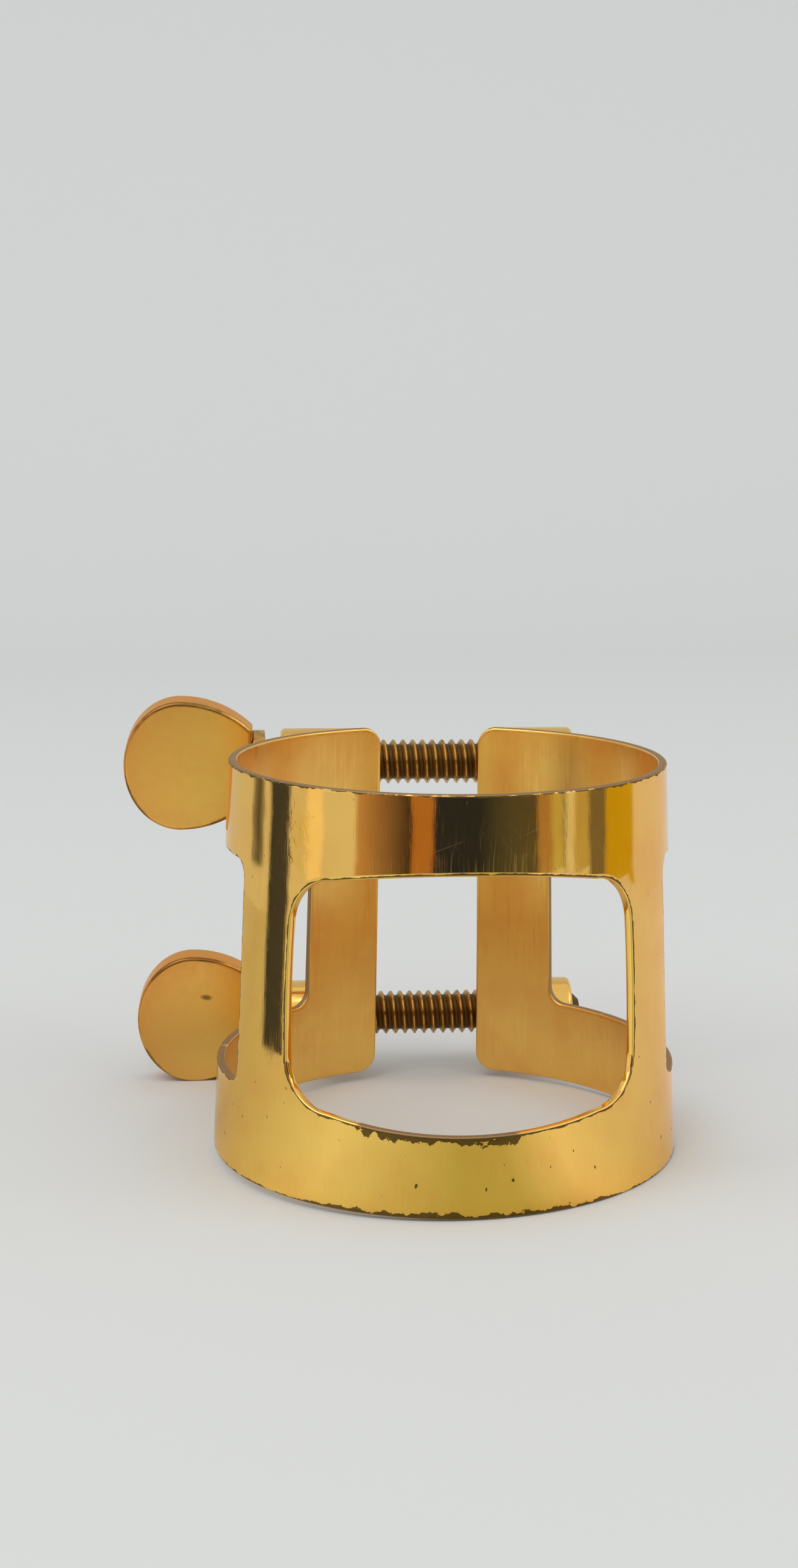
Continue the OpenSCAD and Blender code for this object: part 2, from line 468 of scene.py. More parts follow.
def new_material(name):
    """An empty material, and the function that adds nodes to it."""
    material = bpy.data.materials.new(name)
    material.use_nodes = True
    material.node_tree.nodes.clear()
    return material, partial(add_node, material.node_tree)


def coat(add, inputs):
    """Gives a material its surface: a shader with the given inputs."""
    surface = add("BsdfPrincipled", inputs)
    add("OutputMaterial", {"Surface": surface})


def spot(add, where, place_at, stretch, frayed, fade, most):
    """A frayed spot: its strength is most at its middle and fades to nothing at its border."""
    away = add("VectorMath", (where, place_at), operation="SUBTRACT")
    away = add("VectorMath", (away, stretch), operation="MULTIPLY")
    away = add("VectorMath", (away,), operation="LENGTH")
    past = add("Math", (frayed, away), operation="SUBTRACT")
    return add("MapRange", (past, *fade, 0.0, most))


def polished_gold_plate(finish):
    """Gold plate on buffed brass: a mirror with faint hairs and scratches, worn brown at its edges."""
    material, add = new_material("gold_plate_polished")
    sheet = add("Attribute", output="Vector", attribute_name="sheet")
    worn, lip = [add("Attribute", output="Fac", attribute_name=key) for key in ("worn", "lip")]
    split = add("SeparateXYZ", (sheet,)).node.outputs
    height_up, gap = split["Y"], split["Z"]

    # Buffing hairs, drawn 0.05 mm wide so that they show, and 2 mm long
    along = add("VectorMath", (sheet, (20.0, 0.5, 0.0)), operation="MULTIPLY")
    hairs = add("TexNoise", {"Vector": along, "Scale": 1.0, "Detail": 3.0})

    # Clouds of redder film, about 4 mm across
    flat = add("VectorMath", (sheet, (1.0, 1.0, 0.0)), operation="MULTIPLY")
    clouds = add("TexNoise", {"Vector": flat, "Scale": 0.25, "Detail": 2.0})
    film = add("MapRange", (clouds, 0.4, 0.75, 0.0, 0.6))
    film = add("Math", (hairs, 0.8, film), operation="MULTIPLY_ADD")
    film = add("Math", (film, 0.4), operation="SUBTRACT", use_clamp=True)
    plate = add("Mix", (film, finish.plate, finish.warm_plate), data_type="RGBA")

    # A yellow smear, 2 mm wide, on the top strap above the left bar
    streaks = add("TexNoise", {"Vector": flat, "Scale": 1.3, "Detail": 5.0})
    smear = spot(add, flat, SMEAR, (0.8, 0.3, 0.0), streaks, (-0.3, 0.5), 0.6)
    plate = add("Mix", (smear, plate, finish.smear), data_type="RGBA")

    # The deepest hairs, and straight scratches in three directions, some 0.05 mm wide and 4 mm long
    scratched = add("MapRange", (hairs, 0.52, 0.78, 0.0, 0.36))
    for angle in (0.1, -0.65, 1.2):
        leaning = add("VectorRotate", {"Vector": flat, "Angle": angle}, rotation_type="Z_AXIS")
        leaning = add("VectorMath", (leaning, (13.0, 0.22, 0.0)), operation="MULTIPLY")
        furrows = add("TexNoise", {"Vector": leaning, "Scale": 1.0, "Detail": 0.0})
        line = add("MapRange", (furrows, 0.72, 0.85, 0.0, 0.42))
        scratched = add("Math", (scratched, line), operation="MAXIMUM")
    bared = add("Math", (scratched, 0.12), operation="MULTIPLY")
    plate = add("Mix", (bared, plate, finish.scratch), data_type="RGBA")

    # Ragged worn border, with scallops of 1 mm, that spares the bright lip of a window
    scallops = add("TexNoise", {"Vector": flat, "Scale": 1.1, "Detail": 5.0, "Roughness": 0.62})
    ragged = add("MapRange", (scallops, 0.34, 0.66, 0.15, 1.7))
    lip_w = add("Math", (lip, 0.08), operation="MULTIPLY")
    width = add("Math", (ragged, worn, lip_w), operation="MULTIPLY_ADD")
    past = add("Math", (width, gap), operation="SUBTRACT")
    border = add("MapRange", (past, -0.02, 0.02, 0.0, 1.0))
    on_edge = add("MapRange", (gap, 0.05, 0.09, 1.0, 0.0))
    on_lip = add("Math", (on_edge, lip), operation="MULTIPLY")
    border = add("Math", (border, on_lip), operation="SUBTRACT", use_clamp=True)

    # Upright pits, up to 0.1 mm wide and 0.25 mm long, some 2 mm apart and fewer higher up
    jagged = add("TexNoise", {"Vector": flat, "Scale": 5.0, "Detail": 2.0}, output="Color")
    upright = add("VectorMath", (jagged, (0.2, 0.2, 0.0), flat), operation="MULTIPLY_ADD")
    upright = add("VectorMath", (upright, (1.0, 0.45, 0.0)), operation="MULTIPLY")
    from_pit = add(
        "TexVoronoi", {"Vector": upright, "Scale": 0.8, "Randomness": 1.0},
        voronoi_dimensions="2D",
    )
    chance = add("SeparateXYZ", (from_pit.node.outputs["Color"],))
    chance = add("Math", (height_up, -0.02, chance), operation="MULTIPLY_ADD")
    pit_r = add("MapRange", (chance, 0.35, 0.9, 0.0, 0.044))
    past = add("Math", (pit_r, from_pit), operation="SUBTRACT")
    pits = add("MapRange", (past, -0.006, 0.006, 0.0, 0.9))

    gone = add("Math", (border, pits), operation="MAXIMUM")
    paler = add("Math", (scallops, pits), operation="SUBTRACT", use_clamp=True)
    brown = add("Mix", (paler, finish.tarnish, finish.worn), data_type="RGBA")
    brown = add("Mix", (on_edge, brown, finish.cut_edge), data_type="RGBA")
    shown = add("Mix", (gone, plate, brown), data_type="RGBA")
    rough = add("MapRange", (hairs, 0.5, 0.74, 0.03, 0.11))
    rough = add("Mix", (scratched, rough, 0.26), data_type="FLOAT")
    rough = add("Mix", (gone, rough, 0.5), data_type="FLOAT")

    # Hairs stand about 1 micrometre high, and the plate's broken border 4
    height = add("Math", (hairs, gone), operation="SUBTRACT")
    relief = add("Bump", {"Strength": 0.3, "Distance": 0.004 * MM, "Height": height})

    # Crinkles in the dried smear, 0.4 mm across
    crinkles = add("TexNoise", {"Vector": flat, "Scale": 2.5, "Detail": 3.0, "Distortion": 1.5})
    crinkles = add("Math", (crinkles, smear), operation="MULTIPLY")
    relief = add(
        "Bump", {"Strength": 1.0, "Distance": 0.025 * MM, "Height": crinkles, "Normal": relief}
    )

    # Waves left by rolling the sheet, 3 mm long and a few micrometres high
    waves = add("TexNoise", {"Vector": flat, "Scale": 0.33, "Detail": 1.0})
    relief = add("Bump", {"Strength": 1.0, "Distance": 0.03 * MM, "Height": waves, "Normal": relief})
    coat(add, {
        "Metallic": 1.0, "Specular Tint": finish.edge_tint,
        "Base Color": shown, "Roughness": rough, "Normal": relief,
    })
    return material


def satin_gold_inside(finish):
    """Gold plate as it left the bath, rubbed inside: satin, with dull amber clouds."""
    material, add = new_material("gold_plate_satin_inside")
    sheet = add("Attribute", output="Vector", attribute_name="sheet")

    # Rub marks along the bore, 0.2 mm wide and 5 mm long
    along = add("VectorMath", (sheet, (5.0, 0.2, 0.0)), operation="MULTIPLY")
    rubs = add("TexNoise", {"Vector": along, "Scale": 1.0, "Detail": 4.0})

    # Amber clouds, about 3 mm across
    flat = add("VectorMath", (sheet, (1.0, 1.0, 0.0)), operation="MULTIPLY")
    clouds = add("TexNoise", {"Vector": flat, "Scale": 0.33, "Detail": 4.0})
    film = add("MapRange", (clouds, 0.42, 0.8, 0.0, 0.8))
    shown = add("Mix", (film, finish.plate, finish.warm_plate), data_type="RGBA")
    rough = add("MapRange", (rubs, 0.3, 0.7, 0.24, 0.4))
    relief = add("Bump", {"Strength": 0.5, "Distance": 0.006 * MM, "Height": rubs})
    coat(add, {"Metallic": 1.0, "Base Color": shown, "Roughness": rough, "Normal": relief})
    return material


def turned_gold_plate(finish):
    """Gold plate on turned brass: smooth, a little cloudy, with brown in its corners."""
    material, add = new_material("gold_plate_turned")
    where = add("TexCoord", output="Object")
    corner = add("Attribute", output="Fac", attribute_name="corner")

    # Clouds 1.5 mm across
    clouds = add("TexNoise", {"Vector": where, "Scale": 1 / (1.5 * MM), "Detail": 4.0})
    film = add("MapRange", (clouds, 0.45, 0.8, 0.0, 0.8))
    plate = add("Mix", (film, finish.plate, finish.warm_plate), data_type="RGBA")
    shown = add("Mix", (corner, plate, finish.worn), data_type="RGBA")
    rough = add("MapRange", (clouds, 0.3, 0.7, 0.12, 0.24))
    relief = add("Bump", {"Strength": 0.4, "Distance": 0.02 * MM, "Height": clouds})
    coat(add, {"Metallic": 1.0, "Base Color": shown, "Roughness": rough, "Normal": relief})
    return material


def turned_brass(finish):
    """Turned brass, handled and lightly tarnished: dull yellow crests over dark thread roots."""
    material, add = new_material("brass_turned")
    where = add("TexCoord", output="Object")
    depth = add("Attribute", output="Fac", attribute_name="groove")

    # Spots of tarnish, about 0.8 mm across
    spots = add("TexNoise", {"Vector": where, "Scale": 1 / (0.8 * MM), "Detail": 4.0})
    dirt = add("MapRange", (spots, 0.5, 0.75, 0.0, 0.6))
    # Darker towards the thread roots, by depth, and in the tarnish spots
    dark = add("Math", (dirt, depth), operation="MAXIMUM")
    shown = add("Mix", (dark, finish.shank, finish.root_dark), data_type="RGBA")
    rough = add("Mix", (dark, 0.24, 0.55), data_type="FLOAT")
    relief = add("Bump", {"Strength": 0.4, "Distance": 0.02 * MM, "Height": spots})
    coat(add, {"Metallic": 1.0, "Base Color": shown, "Roughness": rough, "Normal": relief})
    return material


def handled_gold_plate(finish):
    """Gold plate dulled by thumbs: satin, with amber film and painted shade that deepens towards a
    rosy rim, and a dark line on its edge.
    """
    material, add = new_material("gold_plate_handled")
    where = add("TexCoord", output="Object")
    names = ("amber", "rim", "edge_gap")
    amber, rim, from_edge = [add("Attribute", output="Fac", attribute_name=key) for key in names]

    # Soft clouds 4 mm across, over the amber film and its painted shade
    clouds = add("TexNoise", {"Vector": where, "Scale": 1 / (4 * MM), "Detail": 2.0})
    film = add("Math", (clouds, 0.3, amber), operation="MULTIPLY_ADD", use_clamp=True)
    plate = add("Mix", (film, finish.plate, finish.amber_plate), data_type="RGBA")
    plate = add("Mix", (rim, plate, finish.rosy_plate), data_type="RGBA")

    # The worn line on the edge comes and goes every 3 mm, and is up to 0.25 mm wide
    runs = add("TexNoise", {"Vector": where, "Scale": 1 / (2.6 * MM), "Detail": 5.0})
    width = add("MapRange", (runs, 0.36, 0.56, -0.02, 0.2))
    past = add("Math", (width, from_edge), operation="SUBTRACT")
    line = add("MapRange", (past, -0.08, 0.06, 0.0, 0.7))

    # A stain of half a millimetre on the face of the lower paddle
    frayed = add("TexNoise", {"Vector": where, "Scale": 1 / (0.4 * MM), "Detail": 3.0})
    stretch = Vector((1.5, 0.8, 2.6)) / MM
    stain = spot(add, where, Vector(STAIN) * MM, stretch, frayed, (-0.1, 0.3), 0.75)
    dark = add("Math", (line, stain), operation="MAXIMUM")
    shown = add("Mix", (dark, plate, finish.tarnish), data_type="RGBA")

    # Scuffs 0.6 mm across
    scuffs = add("TexNoise", {"Vector": where, "Scale": 1 / (0.6 * MM), "Detail": 4.0})
    rough = add("MapRange", (scuffs, 0.3, 0.7, 0.22, 0.28))
    relief = add("Bump", {"Strength": 0.1, "Distance": 0.004 * MM, "Height": scuffs})
    coat(add, {
        "Metallic": 1.0, "Specular Tint": finish.rim_tint,
        "Base Color": shown, "Roughness": rough, "Normal": relief,
    })
    return material


def matt_card(name, first, last):
    """Matt paint on card, blended from one colour to another along it, for the studio only."""
    material, add = new_material(name)
    across = add("Attribute", output="Fac", attribute_name="across")
    ends = [(*linear(code), 1.0) for code in (first, last)]
    paint = add("Mix", (across, *ends), data_type="RGBA")
    coat(add, {"Base Color": paint, "Roughness": 1.0, "Specular IOR Level": 0.0})
    return material


def lit_card(name):
    """Translucent card with a lamp behind it, as bright as a window, for the studio only."""
    material, add = new_material(name)
    black, glow = [(*linear(code), 1.0) for code in ("#000000", "#FFF6E4")]
    coat(add, {"Base Color": black, "Emission Color": glow, "Emission Strength": 0.95})
    return material


# Pieces


class LIGATURE_OT_band(bpy.types.Operator):
    """Cut, roll and plate the band"""

    bl_idname = "ligature.make_band"
    bl_label = "Make the band"

    def execute(self, context):
        blank = Blank(plain(context.scene.ligature_band))
        finish = plain(context.scene.ligature_finish)
        bm = bmesh.new()
        cut_blank(bm, blank)
        shape_blank(bm, blank)
        roll_blank(bm, blank)
        bmesh.ops.recalc_face_normals(bm, faces=bm.faces)
        bm.normal_update()
        front = min(bm.faces, key=lambda face: face.calc_center_median().y)
        if front.normal.y > 0:
            bmesh.ops.reverse_faces(bm, faces=bm.faces)
        bmesh.ops.solidify(bm, geom=bm.faces[:], thickness=blank.sizes.sheet_t)
        bm.normal_update()
        round_edges(bm, blank.sizes.rim_round, 3)
        for face in bm.faces:
            middle = face.calc_center_median()
            outward = Vector((middle.x, middle.y, 0)).normalized()
            face.material_index = 1 if face.normal.dot(outward) < -0.5 else 0

        def edge_at(co):
            return blank.edge(math.atan2(co.x, -co.y) * blank.mean_r, co.z)

        def along_sheet(co):
            return (math.atan2(co.x, -co.y) * blank.mean_r, co.z, edge_at(co)[0])

        place(
            bm, "band_plated", [polished_gold_plate(finish), satin_gold_inside(finish)],
            "band_with_posts", "band", "plated_band",
            sheet=along_sheet, worn=lambda co: edge_at(co)[1], lip=lambda co: edge_at(co)[2],
        )
        return {"FINISHED"}


class LIGATURE_OT_posts(bpy.types.Operator):
    """Turn the four posts and solder them to the band"""

    bl_idname = "ligature.make_posts"
    bl_label = "Make the posts"

    def execute(self, context):
        blank = Blank(plain(context.scene.ligature_band))
        sizes = plain(context.scene.ligature_screws)
        material = turned_gold_plate(plain(context.scene.ligature_finish))
        for name in SCREWS:
            for kind, side in SIDES.items():
                self.post(name, kind, side, blank, sizes, material)
        return {"FINISHED"}

    def post(self, name, kind, side, blank, sizes, material):
        """One post: a barrel across the screw, on a stem that is coped to barrel and band."""
        node = f"{name}_{kind}_post"
        low, high = screw_box(name, f"{kind}_post")
        y, z = screw_axis(name)
        outer_end = low.x if side < 0 else high.x
        half = sizes.barrel_l / 2
        centre = Vector((outer_end - side * half, y, z))
        barrel_r, bore_r = sizes.barrel_r, sizes.bore_r
        barrel_round, bead, foot_round, fillet, brown_h = 0.3, 0.25, 0.12, 0.15, 0.35

        bm = turned([(bore_r, -half), (barrel_r, -half), (barrel_r, half), (bore_r, half)], True)
        round_edges(bm, barrel_round, 4)
        bmesh.ops.rotate(bm, verts=bm.verts, matrix=Matrix.Rotation(math.pi / 2, 3, "Y"))
        bmesh.ops.translate(bm, verts=bm.verts, vec=centre)

        out = Vector((centre.x, centre.y, 0)).normalized()
        lateral = Vector((0, 0, 1)).cross(out)
        seat = blank.outer_r(z)
        rise = math.hypot(centre.x, centre.y) - seat
        foot_r, foot_t, stem_r = sizes.foot_r, sizes.foot_t, sizes.stem_r
        stem = turned([
            (0, 0), (foot_r + bead, 0), (foot_r + 0.3 * bead, 0.3 * bead), (foot_r, bead),
            (foot_r, foot_t - foot_round), (foot_r - foot_round, foot_t), (stem_r + fillet, foot_t),
            (stem_r, foot_t + fillet), (stem_r, rise), (0, rise),
        ])
        wall_r = (barrel_r + bore_r) / 2
        for v in stem.verts:
            u, w, h = v.co
            if h <= 0:
                reach = math.sqrt(seat * seat - u * u)
            elif h >= rise:
                under = math.sqrt(wall_r * wall_r - w * w)
                reach = (centre.y - under - u * lateral.y) / out.y
            else:
                reach = seat + h
            v.co = out * reach + lateral * u + Vector((0, 0, z + w))
        clean(stem)
        join(bm, stem)

        def in_corner(co):
            above = math.hypot(co.x, co.y) - blank.outer_r(co.z)
            return max(0.0, 1 - above / brown_h) * BROWN_SHARE

        place(bm, f"{node}_turned", [material], "band_with_posts", node, "posts", corner=in_corner)


def screw_matrix(name, sizes):
    """Places a screw whose own Z runs along its axis, from the collar's inner face to its tip."""
    y, z = screw_axis(name)
    face = screw_box(name, "paddle")[1].x + sizes.collar_t
    return Matrix.Translation((face, y, z)) @ Matrix.Rotation(math.pi / 2, 4, "Y")


class LIGATURE_OT_shanks(bpy.types.Operator):
    """Turn the two screw shanks and cut their threads"""

    bl_idname = "ligature.make_shanks"
    bl_label = "Make the screw shanks"

    def execute(self, context):
        sizes = plain(context.scene.ligature_screws)
        material = turned_brass(plain(context.scene.ligature_finish))
        for name in SCREWS:
            self.shank(name, sizes, material)
        return {"FINISHED"}

    def shank(self, name, sizes, material):
        """One shank: collar, core and a thread that fades at both ends."""
        node = f"{name}_screw_shank"
        low, high = screw_box(name, "screw_shank")
        matrix = screw_matrix(name, sizes)
        collar_r, collar_t = (high.z - low.z) / 2, sizes.collar_t
        tip = high.x - matrix.translation.x
        root, crest, pitch = sizes.root_r, sizes.crest_r, sizes.pitch
        edge_round, chamfer, flank, crest_half = 0.1, 0.4, 0.31, 0.05
        bm = turned([
            (0, -collar_t), (collar_r, -collar_t), (collar_r, 0), (crest, 0), (crest, pitch),
            (root, 1.4 * pitch), (root, tip - chamfer), (root - chamfer, tip), (0, tip),
        ])
        round_edges(bm, edge_round, 3)

        start, buried, per_turn = 1.6 * pitch, 0.9 * root, 36
        turns = math.floor((tip - start - flank) / pitch)
        thread = bmesh.new()
        profile = [(buried, -flank), (crest, -crest_half), (crest, crest_half), (buried, flank)]
        verts = [thread.verts.new((r, 0, start + h)) for r, h in profile]
        edges = [thread.edges.new(pair) for pair in zip(verts, verts[1:] + verts[:1])]
        bmesh.ops.spin(
            thread, geom=verts + edges, cent=(0, 0, 0), axis=(0, 0, 1),
            dvec=(0, 0, pitch / per_turn), angle=2 * math.pi * turns, steps=per_turn * turns,
            use_merge=False, use_duplicate=False,
        )
        bmesh.ops.holes_fill(thread, edges=[e for e in thread.edges if e.is_boundary], sides=4)
        for v in thread.verts:
            r = v.co.xy.length
            limit = max(buried, min(crest, tip + crest - chamfer - v.co.z, root + v.co.z - start))
            v.co.xy *= min(1, limit / r)
        clean(thread)
        join(bm, thread)
        bmesh.ops.transform(bm, matrix=matrix, verts=bm.verts)
        axis = matrix.translation.yz

        def groove(co):
            depth = crest - (co.yz - axis).length
            # Darker the deeper the point lies in the thread
            return min(1.0, max(0.0, depth / (crest - root))) * ROOT_DARK_SHARE

        place(
            bm, f"{node}_threaded", [material], f"{name}_thumb", node, "screw_shanks", groove=groove
        )


class LIGATURE_OT_paddles(bpy.types.Operator):
    """Cut, plate and fit the two thumb paddles"""

    bl_idname = "ligature.make_paddles"
    bl_label = "Make the thumb paddles"

    def execute(self, context):
        sizes = plain(context.scene.ligature_screws)
        material = handled_gold_plate(plain(context.scene.ligature_finish))
        leans = {"upper": sizes.upper_lean, "lower": 0.0}
        for name in SCREWS:
            self.paddle(name, leans[name], sizes, material)
        return {"FINISHED"}

    def blade(self, sizes):
        """The flat of a paddle: half an oval whose flanks draw in, with loops inside its rim."""
        half, reach, flank_r = sizes.paddle_h / 2, sizes.paddle_reach, sizes.flank_r
        shift = flank_r - half
        flank = math.asin(reach / flank_r)
        rim_loop, rim_round = 0.4, 0.18
        loop_shares = (0.93, 0.94, 0.9, 0.8, 0.5)
        bm = bmesh.new()
        first = last = bm.verts.new((flank_r * math.cos(flank) - shift, reach, 0))
        for centre, angle, count in ((-shift, flank, 20), (0, math.pi, 72), (shift, flank, 20)):
            made = bmesh.ops.spin(
                bm, geom=[last], cent=(centre, 0, 0), axis=(0, 0, 1), angle=-angle, steps=count,
                use_merge=False, use_duplicate=False,
            )
            last = pick(made["geom_last"], BMVert)[0]
        outer = [v for v in bm.verts if v.co.y < 0]
        bmesh.ops.scale(bm, verts=outer, vec=(1, sizes.paddle_nose / half, 1))
        bm.edges.new((first, last))
        ring = bm.edges[:]
        for share in loop_shares:
            made = bmesh.ops.extrude_edge_only(bm, edges=ring)
            inner = set(pick(made["geom"], BMVert))
            ring = [e for e in bm.edges if inner.issuperset(e.verts)]
            bmesh.ops.scale(bm, verts=list(inner), vec=(share, share, 1))
        bmesh.ops.contextual_create(bm, geom=ring)
        cap, inner_cap = bm.faces[:], []
        for rise in (rim_loop, sizes.paddle_t - 2 * rim_loop, rim_loop):
            made = bmesh.ops.extrude_face_region(bm, geom=cap)["geom"]
            bmesh.ops.delete(bm, geom=inner_cap, context="FACES")
            cap = inner_cap = pick(made, BMFace)
            bmesh.ops.translate(bm, verts=pick(made, BMVert), vec=(0, 0, rise))
        bmesh.ops.translate(bm, verts=bm.verts, vec=(0, 0, -sizes.paddle_t / 2))
        clean(bm)
        round_edges(bm, rim_round, 3)
        return bm

    def paddle(self, name, lean, sizes, material):
        """One paddle: a blade on a short flared neck."""
        node = f"{name}_paddle"
        half, flank_r = sizes.paddle_h / 2, sizes.flank_r
        screw = screw_matrix(name, sizes)
        base = screw_box(name, "paddle")[1].x - screw.translation.x
        upright = (
            screw @ Matrix.Rotation(lean, 4, "Z")
            @ Matrix.Translation((0, 0, base - sizes.paddle_reach))
            @ Matrix.Rotation(math.pi / 2, 4, "X")
        )
        bm = self.blade(sizes)
        bmesh.ops.transform(bm, matrix=upright, verts=bm.verts)
        neck = turned([(r, base - away) for r, away in NECK])
        bmesh.ops.transform(neck, matrix=screw, verts=neck.verts)
        join(bm, neck)
        flat = upright.inverted()
        edge_w = 0.15

        def inside(co):
            spot_at = flat @ co
            if spot_at.y < 0:
                return max(0.0, half - math.hypot(spot_at.x, spot_at.y * half / sizes.paddle_nose))
            return max(0.0, flank_r - math.hypot(abs(spot_at.x) + flank_r - half, spot_at.y))

        def amber(co):
            spot_at = flat @ co
            middle, to_top, to_nose = AMBER_FILM_AND_SHADE[name]
            ring_w, ring_share = PAINTED_RIM_SHADE
            # Amber film in the middle, and painted shade as more amber towards the top, the nose and
            # the rim
            film = middle - (to_top * spot_at.x + to_nose * spot_at.y) / half
            return film + ring_share * max(0.0, 1 - inside(co) / ring_w)

        def below_face(co):
            return sizes.paddle_t / 2 - abs((flat @ co).z)

        place(
            bm, f"{node}_plated", [material], f"{name}_thumb", node, "paddles",
            amber=amber,
            edge_gap=lambda co: max(inside(co), below_face(co), 0.0),
            rim=lambda co: float(below_face(co) > edge_w > inside(co)),
        )


# Studio

# Cards that only reflections see: from and to azimuth in degrees, counted from the front towards
# +X, distance from the bore axis in millimetres, and the paint at both ends
STANDING_CARDS = (
    ("left_grey_card", -119, -113, 140, "#A8A8A8", "#5C5C5C"),
    ("left_fading_card", -113, -108, 140, "#5C5C5C", "#A8A8A8"),
    ("left_charcoal_card", -94, -81, 47, "#4A5060", "#545868"),
    ("rose_card", -49, -22, 125, "#E0B898", "#443C40"),
    ("orange_card", -22, -11.5, 125, "#D0965E", "#D0965E"),
    ("charcoal_card", -11.5, 10, 125, "#363C58", "#363C54"),
    ("slate_card", 10, 26, 125, "#363C54", "#646664"),
    ("stone_card", 26, 39, 125, "#646664", "#6A685E"),
    ("right_rose_card", 39, 46, 125, "#C8A67C", "#C8A67C"),
    ("straw_card", 46, 52, 125, "#DED898", "#DED898"),
    ("thin_grey_card", 52, 53.2, 125, "#88887A", "#88887A"),
    ("olive_card", 58.5, 67, 125, "#D4C890", "#D4C890"),
    ("grey_card", 66.4, 77.5, 105, "#8A8474", "#8A8474"),
    ("yellow_card", 77.5, 98.3, 105, "#DCC42E", "#DCC42E"),
    ("right_white_card", 97.4, 150, 90, "#F6F0FA", "#F0ECF4"),
)
LYING_CARDS = (
    ("left_pale_card", -140, -110, 110, "#DADBDA", "#C8C7BD"),
    ("left_bounce_card", -110, -66, 110, "#C8C7BD", "#E0E5D8"),
    ("left_blend_card", -66, -46, 110, "#E0E5D8", "#F0FAF0"),
    ("left_olive_card", -46, 0, 110, "#F0FAF0", "#BDC295"),
    ("front_olive_card", 0, 16, 110, "#BDC295", "#C2C69C"),
    ("right_olive_card", 16, 36, 110, "#C2C69C", "#F4F4EC"),
    ("right_blend_card", 36, 60, 110, "#F4F4EC", "#E4E6E2"),
    ("right_bounce_card", 60, 95, 110, "#E4E6E2", "#E0DEEC"),
    ("right_pale_card", 95, 130, 110, "#E0DEEC", "#EAE6F4"),
)
LIT_CARD = ("left_lit_card", -76, -67.5, 125)
# Top of the standing cards, and how far the lying ones are above the floor, in millimetres
CARD_TOP = 60
CARD_LIFT = 0.1

# Place and side in metres, and radiance
LAMPS = {
    "key_softbox": ((-0.3, -0.25, 0.55), 0.5, 1.35),
    "fill_softbox": ((0.45, -0.2, 0.35), 0.4, 0.85),
}
LAMP_AIM = Vector((0, 0, 0.01))
SKY_STRENGTH = 0.93

# Place in millimetres, direction, and roll in degrees
CAMERA_AT = Vector((-11.673, -121.273, 42.492))
CAMERA_LOOK = Vector((0.07188, 0.98266, -0.17091))
CAMERA_ROLL = 0.33


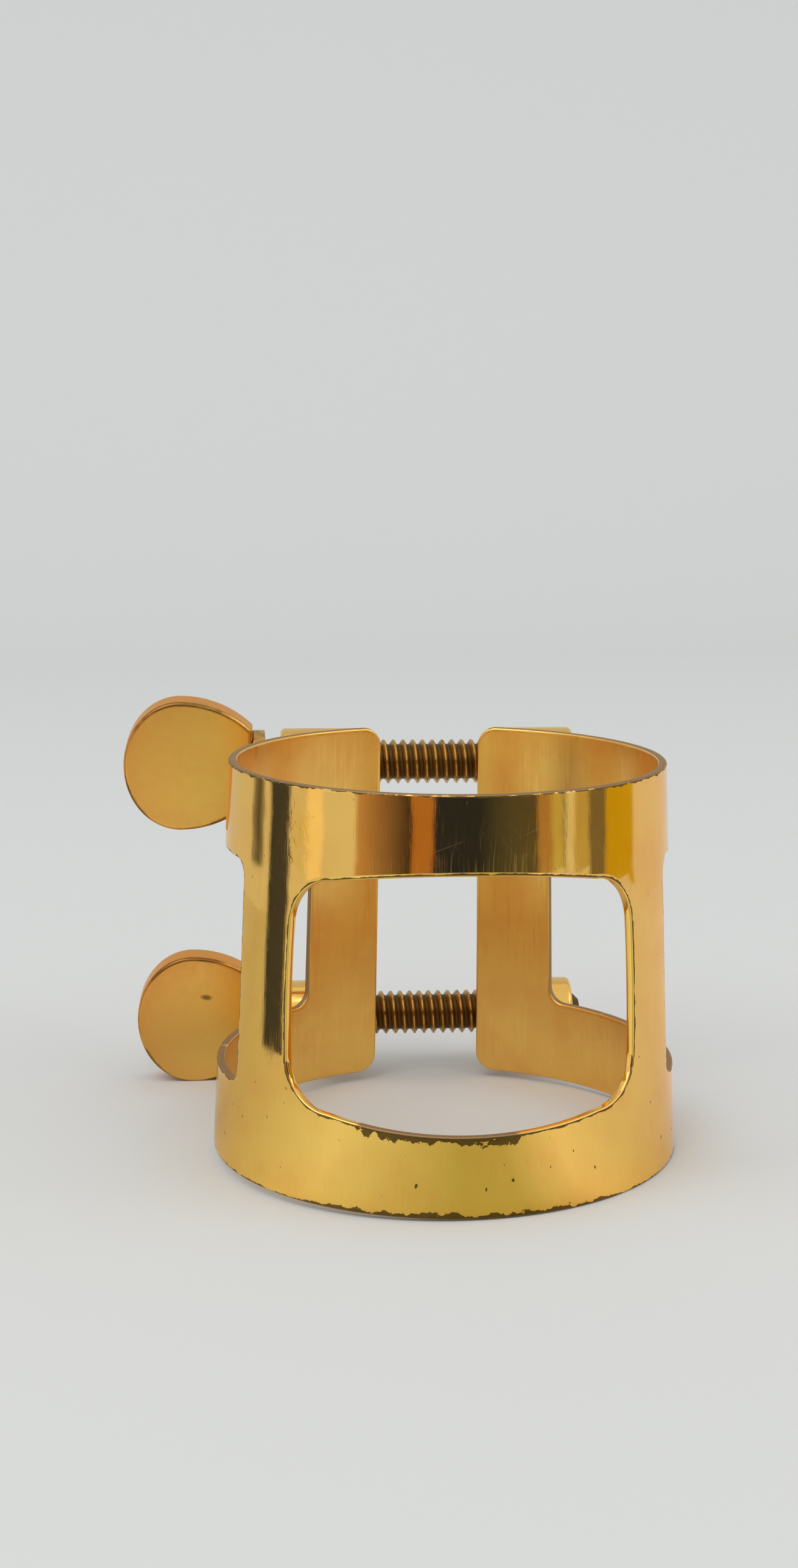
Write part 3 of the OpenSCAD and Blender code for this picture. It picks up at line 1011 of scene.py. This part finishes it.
class LIGATURE_OT_stage(bpy.types.Operator):
    """Set the floor, the lights and the camera"""

    bl_idname = "ligature.set_stage"
    bl_label = "Set the stage"

    def execute(self, context):
        settings = plain(context.scene.ligature_stage)
        self.sweep(settings)
        for name, start, end, distance, first, last in STANDING_CARDS:
            foot, top = (distance, 0), (distance, CARD_TOP)
            self.card(name, start, end, foot, top, matt_card(name, first, last))
        for name, start, end, distance, first, last in LYING_CARDS:
            inner, outer = (WIDE_R - 1, CARD_LIFT), (distance, CARD_LIFT)
            self.card(name, start, end, inner, outer, matt_card(name, first, last))
        name, start, end, distance = LIT_CARD
        self.card(name, start, end, (distance, 0), (distance, CARD_TOP), lit_card(name))
        self.sky(context, settings)
        for name, (place_at, side, radiance) in LAMPS.items():
            self.lamp(name, place_at, side, radiance)
        self.camera(context, settings)
        context.scene.view_settings.view_transform = "Standard"
        return {"FINISHED"}

    def ground(self):
        """Tilts the floor so that it touches the wide rim and the lower paddle, as a table does."""
        low, high = screw_box("lower", "paddle")
        touch = Vector((low.x + (high.z - low.z) / 2, (low.y + high.y) / 2, 0))
        slope = -low.z / (touch.length + WIDE_R)
        axis = Vector((0, 0, 1)).cross(touch).normalized()
        drop = Matrix.Translation((0, 0, -slope * WIDE_R * MM))
        return drop @ Matrix.Rotation(math.atan(slope), 4, axis)

    def sweep(self, settings):
        """A floor that curves up into a backdrop; its sizes are in metres."""
        half_w, front, back, bend_r, wall_h = 1.0, -0.8, 0.3, 0.25, 0.8
        material, add = new_material("paper_sweep")
        coat(add, {"Base Color": settings.floor, "Roughness": 0.9})
        bm = bmesh.new()
        edge = bm.edges.new([bm.verts.new((x, front, 0)) for x in (-half_w, half_w)])
        made = bmesh.ops.extrude_edge_only(bm, edges=[edge])["geom"]
        ends = pick(made, BMVert)
        bmesh.ops.translate(bm, verts=ends, vec=(0, back - front, 0))
        last = [e for e in pick(made, BMEdge) if set(e.verts) == set(ends)]
        made = bmesh.ops.spin(
            bm, geom=last + ends, cent=(0, back, bend_r), axis=(1, 0, 0), angle=math.pi / 2,
            steps=24, use_merge=False, use_duplicate=False,
        )["geom_last"]
        made = bmesh.ops.extrude_edge_only(bm, edges=pick(made, BMEdge))["geom"]
        bmesh.ops.translate(bm, verts=pick(made, BMVert), vec=(0, 0, wall_h))
        clean(bm)
        bmesh.ops.transform(bm, matrix=self.ground(), verts=bm.verts)
        new_object("floor", bm, [material])

    def card(self, name, start, end, near, far, material):
        """A bent card on the floor that only reflections see; near and far are (distance, height)."""
        bm = bmesh.new()
        turn = Matrix.Rotation(math.radians(start), 3, "Z")
        verts = [bm.verts.new(turn @ Vector((0, -r, h)) * MM) for r, h in (near, far)]
        edge = bm.edges.new(verts)
        bmesh.ops.spin(
            bm, geom=verts + [edge], cent=(0, 0, 0), axis=(0, 0, 1),
            angle=math.radians(end - start), steps=24, use_merge=False, use_duplicate=False,
        )
        azimuths = [math.degrees(math.atan2(v.co.x, -v.co.y)) for v in bm.verts]
        bmesh.ops.transform(bm, matrix=self.ground(), verts=bm.verts)
        card = new_object(name, bm, [material])
        give_values(card, "across", [(azimuth - start) / (end - start) for azimuth in azimuths])
        card.visible_camera = False
        card.visible_diffuse = False
        card.visible_shadow = False

    def sky(self, context, settings):
        """Soft even light from all round."""
        world = bpy.data.worlds.new("soft_sky")
        world.use_nodes = True
        background = world.node_tree.nodes["Background"]
        background.inputs["Color"].default_value = settings.sky
        background.inputs["Strength"].default_value = SKY_STRENGTH
        context.scene.world = world

    def lamp(self, name, place_at, side, radiance):
        """A square softbox that faces the object; radiance is how bright its face looks."""
        data = bpy.data.lights.new(name, "AREA")
        data.shape = "SQUARE"
        data.size = side
        data.energy = radiance * math.pi * side * side
        lamp = bpy.data.objects.new(name, data)
        lamp.location = place_at
        lamp.rotation_euler = (LAMP_AIM - lamp.location).to_track_quat("-Z", "Y").to_euler()
        bpy.context.scene.collection.objects.link(lamp)

    def camera(self, context, settings):
        """The camera, a little above the object and to its left."""
        data = bpy.data.cameras.new("camera")
        data.lens = settings.lens
        data.sensor_width = 36
        data.clip_start = 0.005
        camera = bpy.data.objects.new("camera", data)
        forward = CAMERA_LOOK.normalized()
        right = forward.cross(Vector((0, 0, 1))).normalized()
        up = right.cross(forward)
        roll = math.radians(CAMERA_ROLL)
        across = math.cos(roll) * right + math.sin(roll) * up
        upward = math.cos(roll) * up - math.sin(roll) * right
        turn = Matrix((across, upward, -forward)).transposed()
        camera.matrix_world = Matrix.Translation(CAMERA_AT * MM) @ turn.to_4x4()
        bpy.context.scene.collection.objects.link(camera)
        context.scene.camera = camera


class LIGATURE_PT_panel(bpy.types.Panel):
    """Sizes, colours and steps of the ligature"""

    bl_idname = "LIGATURE_PT_panel"
    bl_label = "Ligature"
    bl_space_type = "VIEW_3D"
    bl_region_type = "UI"
    bl_category = "Ligature"

    def draw(self, context):
        for name in GROUPS:
            group = getattr(context.scene, name)
            box = self.layout.box()
            for key in group.__annotations__:
                box.prop(group, key)
        for operator in OPERATORS:
            self.layout.operator(operator.bl_idname)


GROUPS = {
    "ligature_band": BandSizes,
    "ligature_screws": ScrewSizes,
    "ligature_finish": FinishColours,
    "ligature_stage": StageSettings,
}
OPERATORS = (
    LIGATURE_OT_band,
    LIGATURE_OT_posts,
    LIGATURE_OT_shanks,
    LIGATURE_OT_paddles,
    LIGATURE_OT_stage,
)
CLASSES = (*GROUPS.values(), *OPERATORS, LIGATURE_PT_panel)


def register():
    for cls in CLASSES:
        bpy.utils.register_class(cls)
    for name, group in GROUPS.items():
        setattr(bpy.types.Scene, name, PointerProperty(type=group))


def unregister():
    for name in GROUPS:
        delattr(bpy.types.Scene, name)
    for cls in reversed(CLASSES):
        bpy.utils.unregister_class(cls)


def main():
    register()
    bpy.ops.ligature.make_band()
    bpy.ops.ligature.make_posts()
    bpy.ops.ligature.make_shanks()
    bpy.ops.ligature.make_paddles()
    bpy.ops.ligature.set_stage()


if __name__ == "__main__":
    main()
